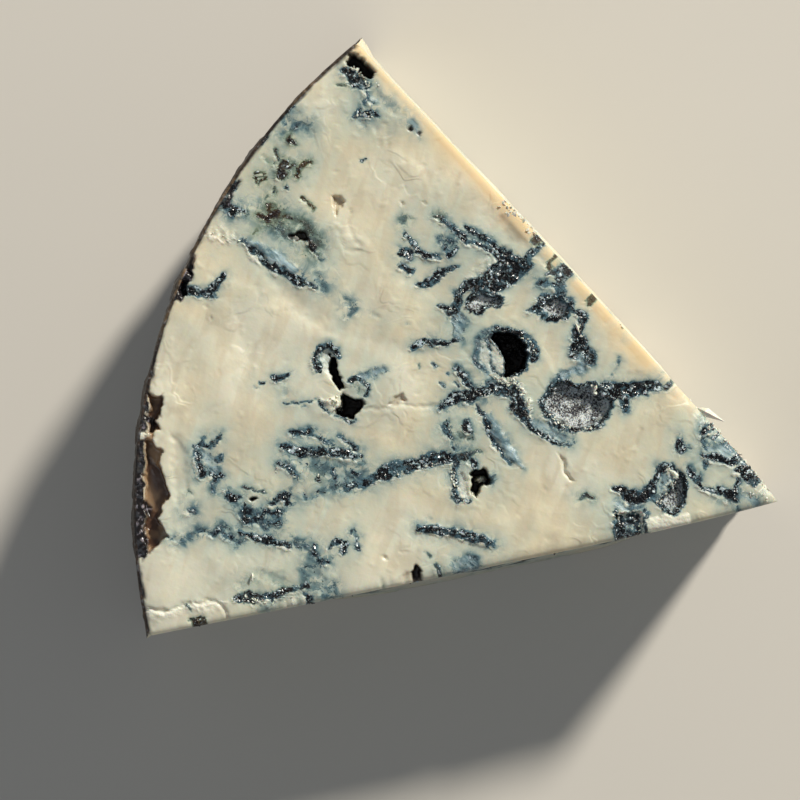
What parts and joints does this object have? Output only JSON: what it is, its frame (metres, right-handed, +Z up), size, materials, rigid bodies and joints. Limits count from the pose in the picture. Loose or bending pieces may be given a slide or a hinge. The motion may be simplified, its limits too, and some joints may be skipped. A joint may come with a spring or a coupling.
{
  "type": "blue cheese wedge",
  "caption": "Wedge of blue-veined cheese cut from a drum, with a creamy paste, granular blue veins and eyes, and a dark natural rind along its curved wall",
  "frame": {"origin": "middle of the outline's box on the flat lower cut face", "axes": "+Z up through the thickness, +X from the rind towards the point of the wedge, +Y towards the right-hand knife cut"},
  "size_m": [0.1086, 0.1128, 0.0363],
  "materials": {
    "cheese_paste": null
  },
  "bodies": {
    "root": {"cheese_wedge": "cheese_paste"}
  },
  "joints": []
}
